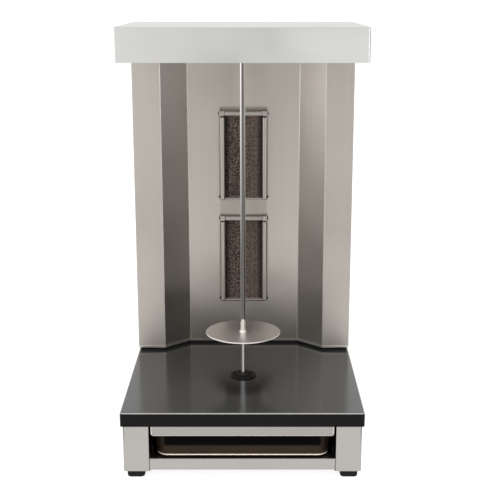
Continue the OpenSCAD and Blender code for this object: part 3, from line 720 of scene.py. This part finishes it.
def make_burner_frame(side):
    """Rounded side rails, corner blocks, top and bottom bars, a thin back flange and its pins."""
    name = side + "_burner_frame"
    a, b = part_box(name)
    hole_low, hole_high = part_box(side + "_burner_mesh")
    bm, pins = bmesh.new(), bmesh.new()
    top_bar = b.z - hole_high.z
    for sign in (-1, 1):
        left, right = sorted((sign * hole_high.x, sign * b.x))
        rounded_block(bm, (left, a.y + 0.001, a.z - 0.0005),
                      (right, b.y, hole_high.z - 0.0012), 0.0036, 4)
        rounded_block(bm, (left - 0.0003, a.y, hole_high.z + 0.0002),
                      (right + 0.0003, b.y, b.z), 0.0014)
        left, right = sorted((sign * b.x, sign * (b.x + LIP)))
        rounded_block(bm, (left, b.y - 0.0035, a.z + 0.004), (right, b.y, b.z - 0.004), 0.0005, 2)
        for z in (b.z - top_bar * 0.55, a.z + 0.007):
            turned(pins, [(r, sign * out) for r, out in PIN], (sign * b.x, a.y + 0.004, z), "X", 16)
    rounded_block(bm, (hole_low.x, a.y + 0.0012, hole_high.z + 0.0004),
                  (hole_high.x, b.y, b.z - 0.0008), 0.0026, 4)
    rounded_block(bm, (hole_low.x, a.y + 0.0022, a.z), (hole_high.x, b.y, hole_low.z), 0.002, 3)
    add_piece(side + "_burner_pins", pins, "frame", slot="plain_steel")
    return add_piece(side + "_burner_rails", bm, "frame", name, slot="burner_steel", smooth_angle=60)


def add_wire(bm, points, side_way, radius):
    """A thin four-sided wire through points."""
    rings = []
    for i, p in enumerate(points):
        along = (points[min(i + 1, len(points) - 1)] - points[max(i - 1, 0)]).normalized()
        across = along.cross(side_way).normalized()
        rings.append([p + way * radius for way in (side_way, across, -side_way, -across)])
    add_rings(bm, rings)


def make_screen(side):
    """A woven wire cloth held in a pressed rim."""
    name = side + "_burner_mesh"
    a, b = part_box(name)
    pitch, wave, radius, rim = 0.0026, 0.0005, 0.00048, 0.0012
    middle = (a.y + b.y) / 2
    columns = int((b.x - a.x - 2 * rim) / pitch)
    rows = int((b.z - a.z - 2 * rim) / pitch)
    xs = [a.x + rim + (b.x - a.x - 2 * rim) * i / columns for i in range(columns + 1)]
    zs = [a.z + rim + (b.z - a.z - 2 * rim) * i / rows for i in range(rows + 1)]
    bm = bmesh.new()
    for i, x in enumerate(xs):
        points = [Vector((x, middle + wave * (-1) ** (i + j), z)) for j, z in enumerate(zs)]
        add_wire(bm, points, Vector((1, 0, 0)), radius)
    for j, z in enumerate(zs):
        points = [Vector((x, middle - wave * (-1) ** (i + j), z)) for i, x in enumerate(xs)]
        add_wire(bm, points, Vector((0, 0, 1)), radius)
    for lowest, highest in (
        ((a.x, middle, a.z), (a.x + rim, b.y, b.z)), ((b.x - rim, middle, a.z), (b.x, b.y, b.z)),
        ((a.x, middle, a.z), (b.x, b.y, a.z + rim)), ((a.x, middle, b.z - rim), (b.x, b.y, b.z)),
    ):
        rounded_block(bm, lowest, highest, 0.0004, 2)
    return add_piece(side + "_wire_cloth", bm, "frame", name, smooth_angle=60)


# ---------- spit ----------


def make_rod():
    """The polished rod of the spit, with its squared top."""
    a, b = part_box("spindle_rod")
    place = centre("spindle_rod")
    place.z = a.z
    radius, square = (b.x - a.x) / 2, 0.004
    shoulder = low("drive_socket").z + 0.002 - a.z
    bm = bmesh.new()
    turned(bm, [(radius - 0.0012, 0), (radius, 0.0015), (radius, shoulder - 0.0006),
                (radius - 0.0006, shoulder)], place)
    rounded_block(bm, (place.x - square, place.y - square, a.z + shoulder - 0.0005),
                  (place.x + square, place.y + square, b.z), 0.0006, 2)
    add_piece("spit_rod", bm, "spindle", "spindle_rod", smooth_angle=40)
    return radius


def make_disc(bore):
    """The disc with a shallow hub."""
    a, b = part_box("meat_disc")
    place = centre("meat_disc")
    place.z = a.z
    rim, hub, thick = (b.x - a.x) / 2, b.z - a.z, 0.0025
    profile = [(rim - 0.0008, 0), (rim, 0.0006), (rim, thick - 0.0008), (rim - 0.0008, thick),
               (rim - 0.0022, thick - 0.0003), (0.0072, thick - 0.0003), (0.0066, thick + 0.0004),
               (0.0063, thick + 0.0012), (0.0062, hub - 0.0004), (0.0058, hub), (bore, hub), (bore, 0)]
    bm = bmesh.new()
    turned(bm, profile, place, segments=128)
    return add_piece("disc_plate", bm, "spindle", "meat_disc", smooth_angle=40)


def make_foot_bearing():
    """The black bearing under the spit: a screwed flange and a raised boss."""
    a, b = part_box("spindle_foot_bearing")
    place = centre("spindle_foot_bearing")
    place.z = high("base_slab").z
    bore, boss, flange = 0.00505, b.z - place.z, (b.x - a.x) / 2
    profile = [(bore, -0.003), (flange - 0.0005, 0), (flange, 0.0005), (flange - 0.0006, 0.002),
               (flange - 0.0014, 0.0025), (0.0155, 0.0026), (0.0138, 0.0034), (0.013, boss - 0.0012),
               (0.012, boss - 0.0002), (0.0085, boss), (bore, boss - 0.001)]
    bm = bmesh.new()
    turned(bm, profile, place)
    return add_piece("foot_bearing_boss", bm, "frame", "spindle_foot_bearing", smooth_angle=35)


def square_ring(x, y, z, half, corner):
    """A level rounded square round a point."""
    return rounded_loop((x - half, x + half), (y - half, y + half), z, corner)


def make_feet():
    """Four rubber feet: square with round corners, soft lower edges, a groove and a screw recess."""
    a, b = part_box("feet")
    half, corner = 0.016, 0.008
    shape = [(0.0022, 0.0), (0.0008, 0.0006), (0.0, 0.0022), (0.0, b.z - 0.0042),
             (0.0007, b.z - 0.0036), (0.0007, b.z - 0.0028), (0.0, b.z - 0.0022), (0.0, b.z - 0.0006),
             (0.0006, b.z)]
    bm = bmesh.new()
    for x in (a.x + half, b.x - half):
        for y in (a.y + half, b.y - half):
            recess = [square_ring(x, y, z, 0.0078, 0.0077) for z in (0.006, 0.0002)]
            walls = [square_ring(x, y, z, half - inset, corner - inset) for inset, z in shape]
            add_rings(bm, recess + walls)
    return add_piece("rubber_feet", bm, "frame", "feet", smooth_angle=40)


# ---------- controls and fixings at the back ----------

LOUVRE_XS = (-0.12, 0.0, 0.12)
LOUVRE_STARTS = (0.13, 0.33)
LOUVRE_ROWS = 7
LOUVRE_PITCH = 0.02


def loose_parts(name):
    """The lowest and highest corner of each separate solid in a CAD node."""
    bm = bmesh.new()
    bm.from_mesh(NODES[name].data)
    bmesh.ops.remove_doubles(bm, verts=bm.verts, dist=WELD_DISTANCE)
    left, parts = set(bm.verts), []
    while left:
        open_ends, seen = [left.pop()], []
        while open_ends:
            vert = open_ends.pop()
            seen.append(vert.co.copy())
            for edge in vert.link_edges:
                other = edge.other_vert(vert)
                if other in left:
                    left.remove(other)
                    open_ends.append(other)
        parts.append([Vector([pick(p[i] for p in seen) for i in range(3)]) for pick in (min, max)])
    bm.free()
    return parts


def make_screws(name, piece_name, axis, head):
    """Domed screw heads with a socket, on each screw's outward end; head is their thickness, signed."""
    index = "XYZ".index(axis)
    way = 1 if head > 0 else -1
    bm = bmesh.new()
    for a, b in loose_parts(name):
        place = (a + b) / 2
        place[index] = (b if way > 0 else a)[index] - head
        radius = max(b[i] - a[i] for i in range(3) if i != index) / 2
        tall = abs(head)
        profile = [(radius * 0.5, -0.0015), (radius - 0.0003, 0), (radius, 0.0003),
                   (radius * 0.88, tall * 0.6), (radius * 0.6, tall * 0.93), (radius * 0.44, tall),
                   (radius * 0.4, tall * 0.95), (radius * 0.38, tall * 0.4)]
        turned(bm, [(r, h * way) for r, h in profile], place, axis, 24)
    return add_piece(piece_name, bm, "frame", name, smooth_angle=40)


def fluted(bm, rows, place, flutes, depth, segments=144):
    """A form turned about Y with a scalloped side; rows list (radius, distance, share of scallop)."""
    rings = []
    for radius, out, share in rows:
        ring = []
        for i in range(segments):
            angle = 2 * math.pi * i / segments
            reach = radius - depth * share * (0.5 + 0.5 * math.cos(flutes * angle)) ** 2
            ring.append(place + Vector((reach * math.cos(angle), out, reach * math.sin(angle))))
        rings.append(ring)
    add_rings(bm, rings)


def make_knob(side):
    """A gas knob: fluted skirt, fluted barrel, raised grip bar and a steel pointer line."""
    name = side + "_gas_knob"
    a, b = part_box(name)
    place = centre(name)
    place.y = a.y
    radius, deep = (b.z - a.z) / 2, b.y - a.y
    barrel = radius - 0.004
    bm = bmesh.new()
    rows = [(0.006, 0.0004, 0), (radius - 0.0008, 0, 0), (radius, 0.0008, 1), (radius, 0.0036, 1),
            (radius - 0.0008, 0.0048, 0.5), (barrel + 0.0004, 0.0056, 0), (barrel, 0.0068, 1),
            (barrel, deep - 0.005, 1), (barrel - 0.001, deep - 0.0032, 0.5),
            (barrel - 0.004, deep - 0.0024, 0)]
    fluted(bm, rows, place, 24, 0.0008)
    rounded_block(bm, (place.x - 0.0033, a.y + 0.005, place.z - radius + 0.001),
                  (place.x + 0.0033, b.y, place.z + radius - 0.001), 0.0016, 4)
    add_piece(side + "_knob_grip", bm, side + "_knob", name, smooth_angle=45)
    bm = bmesh.new()
    rounded_block(bm, (place.x - 0.0006, b.y - 0.0012, place.z + 0.006),
                  (place.x + 0.0006, b.y + 0.00005, place.z + radius - 0.003), 0.0003, 2)
    add_piece(side + "_knob_pointer", bm, side + "_knob", slot="stem_steel")


def hexagon(place, out, reach):
    """A level-sided hexagon across Y."""
    corners = [math.pi / 3 * i for i in range(6)]
    return [place + Vector((reach * math.cos(a), out, reach * math.sin(a))) for a in corners]


def make_gas_inlet():
    """The gas connection: a bevelled hexagon and a threaded spigot with a bore."""
    a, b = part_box("gas_inlet")
    place = centre("gas_inlet")
    place.y = high("rear_cover").y
    bore, major, pitch, tip = 0.006, 0.0105, 0.0018, b.y - place.y
    root = major - 0.0012
    hexes = [(0.0, 0.0152), (0.0006, 0.016), (0.0082, 0.016), (0.009, 0.0148)]
    bm = bmesh.new()
    add_rings(bm, [hexagon(place, out, reach) for out, reach in hexes])
    thread, out = [(root, 0.0088)], 0.0105
    while out < tip - 2 * pitch:
        thread += [(root, out), (major, out + pitch * 0.35), (major, out + pitch * 0.5),
                   (root, out + pitch * 0.85)]
        out += pitch
    thread += [(root, tip - 0.0016), (major - 0.002, tip - 0.0002), (bore + 0.0012, tip),
               (bore, tip - 0.0008), (bore, tip - 0.02)]
    turned(bm, thread, place, "Y", 48)
    turned(bm, [(major, a.y - place.y), (major, 0.0002)], place, "Y", 48)
    return add_piece("gas_spigot", bm, "frame", "gas_inlet", smooth_angle=35)


def make_cable_gland():
    """The mains cable gland: a hexagon, a ribbed cap nut and a throat."""
    a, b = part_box("cable_gland")
    place = centre("cable_gland")
    place.y = high("rear_cover").y
    cap = b.y - place.y
    bm = bmesh.new()
    for start, thick in ((0.0, 0.006), (-SHEET - 0.004, 0.004)):
        hexes = [(0, 0.0115), (0.0005, 0.012), (thick - 0.0006, 0.012), (thick, 0.0112)]
        add_rings(bm, [hexagon(place, start + out, reach) for out, reach in hexes])
    rows = [(0.008, 0.0056, 0), (0.009, 0.0064, 1), (0.009, cap - 0.003, 1),
            (0.0078, cap - 0.0008, 0.4), (0.0066, cap, 0), (0.0052, cap, 0), (0.0048, cap - 0.001, 0),
            (0.0042, cap - 0.006, 0)]
    fluted(bm, rows, place, 18, 0.0009, 108)
    turned(bm, [(0.008, a.y - place.y), (0.008, 0.0002)], place, "Y", 48)
    return add_piece("gland_nut", bm, "frame", "cable_gland", smooth_angle=40)


def make_louvres():
    """Pressed hoods over the cooling slots of the rear cover."""
    half, reach, tall = 0.045, 0.0036, 0.0085
    face = high("rear_cover").y
    bm = bmesh.new()
    for x in LOUVRE_XS:
        for start in LOUVRE_STARTS:
            for row in range(LOUVRE_ROWS):
                foot = high("base_slab").z + start + LOUVRE_PITCH * row
                add_louvre(bm, x, face, foot, half, reach, tall)
    return add_piece("louvre_hoods", bm, "frame", slot=SLOT_OF["rear_cover"], smooth_angle=50,
                     thickness=0.0008)


def add_louvre(bm, x, face, foot, half, reach, tall, steps=12, rises=5):
    """One hood: it swells from the sheet towards its open lower lip and closes at both ends."""
    grid = []
    for k in range(rises + 1):
        up = k / rises
        row = []
        for i in range(steps + 1):
            across = -1 + 2 * i / steps
            swell = reach * math.cos(math.pi / 2 * up) * (1 - across ** 6)
            row.append(bm.verts.new((x + half * across, face + 0.0001 + swell, foot + tall * up)))
        grid.append(row)
    for lower, upper in zip(grid, grid[1:]):
        for i in range(steps):
            bm.faces.new((lower[i], lower[i + 1], upper[i + 1], upper[i]))


dress_cad_nodes()
make_reflector()
make_hood()
make_slab()
make_pan()
make_strip()
for which in ("lower", "upper"):
    make_burner_frame(which)
    make_screen(which)
make_disc(make_rod())
make_foot_bearing()
make_feet()
for which in ("lower", "upper"):
    make_knob(which)
make_gas_inlet()
make_cable_gland()
make_louvres()
make_screws("rear_cover_screws", "cover_screw_heads", "Y", 0.002)
make_screws("foot_bearing_screws", "bearing_screw_heads", "Z", 0.0015)
make_screws("hood_screws", "hood_screw_heads", "Z", -0.002)


# ---------- camera, floor and light ----------

FRONT = low("base_slab").y
SENSOR_MM = 36
LENS_MM = 75.8
LENS_SHIFT = (-0.0040, 0.0176)
PITCH = math.radians(14.25)
STAND_OFF = 1.7516
EYE_HEIGHT = high("base_slab").z + 0.7292
EYE_SIDE = 0.0173
FLOOR_REACH = 150


def add_camera():
    """A long lens in front of the object, a little to the right, looking slightly down."""
    data = bpy.data.cameras.new("camera")
    data.sensor_width = SENSOR_MM
    data.lens = LENS_MM
    data.shift_x, data.shift_y = LENS_SHIFT
    data.clip_end = 500
    cam = bpy.data.objects.new("camera", data)
    cam.location = (EYE_SIDE, FRONT - STAND_OFF, EYE_HEIGHT)
    cam.rotation_euler = (math.pi / 2 - PITCH, 0, 0)
    bpy.context.scene.collection.objects.link(cam)
    bpy.context.scene.camera = cam


def soft_box(name, place, aim, size, power, glossy=True):
    """A rectangular area light that faces a point; glossy says if steel mirrors it."""
    data = bpy.data.lights.new(name, "AREA")
    data.shape = "RECTANGLE"
    data.size, data.size_y = size
    data.energy = power
    lamp = bpy.data.objects.new(name, data)
    lamp.location = place
    lamp.visible_glossy = glossy
    lamp.rotation_euler = (Vector(aim) - Vector(place)).to_track_quat("-Z", "Y").to_euler()
    bpy.context.scene.collection.objects.link(lamp)


def floor_paper():
    """Matt white paper lit from below, as on a light table."""
    mat = painted("floor_paper", (0.24, 0.24, 0.24), (0.26, 0.26, 0.26), rough=0.9, speck=300,
                  depth=0.01)
    shader = mat.node_tree.nodes["Principled BSDF"]
    shader.inputs["Emission Color"].default_value = (*WHITE, 1)
    shader.inputs["Emission Strength"].default_value = 0.9
    return mat


def add_floor():
    """A floor that reaches far past the picture."""
    bm = bmesh.new()
    bmesh.ops.create_grid(bm, x_segments=8, y_segments=8, size=FLOOR_REACH)
    floor = new_object("floor", bm)
    floor.data.materials.append(floor_paper())


def ramp(tree, value, stops):
    """A grey ramp through (position, level) stops."""
    node = tree.nodes.new("ShaderNodeValToRGB")
    marks = node.color_ramp.elements
    while len(marks) < len(stops):
        marks.new(0.5)
    for mark, (place, level) in zip(marks, stops):
        mark.position = place
        mark.color = (level, level, level, 1)
    tree.links.new(value, node.inputs["Fac"])
    return node.outputs["Color"]


# How bright the room is, by how far to a side: 0 is straight ahead of the object, 1 is beside it.
WALLS = [(0.0, 0.3), (0.14, 0.3), (0.34, 0.9), (0.7, 0.9), (0.9, 0.4), (1.0, 0.3)]


def studio_world():
    """A pale room, dimmer ahead of the object and beside it; the camera itself sees plain white."""
    world = bpy.data.worlds.new("studio")
    bpy.context.scene.world = world
    world.use_nodes = True
    tree = world.node_tree
    direction = tree.nodes.new("ShaderNodeTexCoord").outputs["Generated"]
    across, along, up = (component(tree, direction, axis) for axis in "XYZ")
    seen = tree.nodes.new("ShaderNodeLightPath").outputs["Is Camera Ray"]
    colour = ramp(tree, calculate(tree, "ABSOLUTE", across), WALLS)
    for white in (rising(tree, up, 0.3, 0.7), rising(tree, along, 0.1, 0.5), seen):
        colour = tint(tree, colour, white, WHITE)
    back = tree.nodes["Background"]
    tree.links.new(colour, back.inputs["Color"])
    back.inputs["Strength"].default_value = 1.0


def flag(name, start, end, heights, levels):
    """An upright card between two places on the floor, seen only in reflections, lit by two levels."""
    foot, top = heights
    bm = bmesh.new()
    corners = [(*start, foot), (*end, foot), (*end, top), (*start, top)]
    bm.faces.new([bm.verts.new(corner) for corner in corners])
    card = new_object(name, bm)
    mat, tree, shader = new_material(name)
    glow = rising(tree, component(tree, object_coords(tree), "Z"), 0.2, 0.7)
    shader.inputs["Base Color"].default_value = (0, 0, 0, 1)
    shader.inputs["Specular IOR Level"].default_value = 0
    shader.inputs["Emission Strength"].default_value = 1.0
    dim, bright = ((level,) * 3 for level in levels)
    tree.links.new(two_colours(tree, glow, dim, bright), shader.inputs["Emission Color"])
    card.data.materials.append(mat)
    card.visible_camera = card.visible_shadow = card.visible_diffuse = False


FLAG_SIDE = 0.62
UPRIGHT_BOX = (0.9, 1.6)


def add_flags():
    """Cards beside the object, just ahead of the spit and far ahead: they give the steel its darks."""
    for side, x, levels in (("left", -FLAG_SIDE, (0.2, 1.85)), ("right", FLAG_SIDE, (0.02, 0.68))):
        flag("flag_" + side, (x, -0.7), (x, 0.3), (0, 1.0), levels)
    y = centre("spindle_rod").y - 0.010
    above = (high("meat_disc").z + 0.02, low("hood_shell").z)
    below = (high("base_slab").z + 0.004, low("meat_disc").z - 0.002)
    flag("flag_spit", (-0.0095, y), (0.0095, y), above, (0.24, 0.24))
    flag("flag_spit_foot", (-0.003, y), (0.003, y), below, (0.75, 0.75))
    flag("flag_front", (-0.1, FRONT - 1.1), (0.1, FRONT - 1.1), (0, 0.68), (0.1, 0.3))


def light_scene():
    """The room, the cards, two soft boxes above and two in front."""
    studio_world()
    add_flags()
    soft_box("key", (0, -2.9, 1.75), (0, 0, 0.3), (2.2, 0.8), 16, False)
    soft_box("overhead", (0, -0.6, 2.6), (0, -0.1, 0.1), (1.0, 0.6), 32, False)
    soft_box("front_left", (-2.0, -2.6, 1.1), (0, 0, 0.6), UPRIGHT_BOX, 14)
    soft_box("front_right", (1.9, -2.8, 1.1), (0, 0, 0.6), UPRIGHT_BOX, 19)


add_camera()
add_floor()
light_scene()
bpy.context.scene.view_settings.view_transform = "Standard"
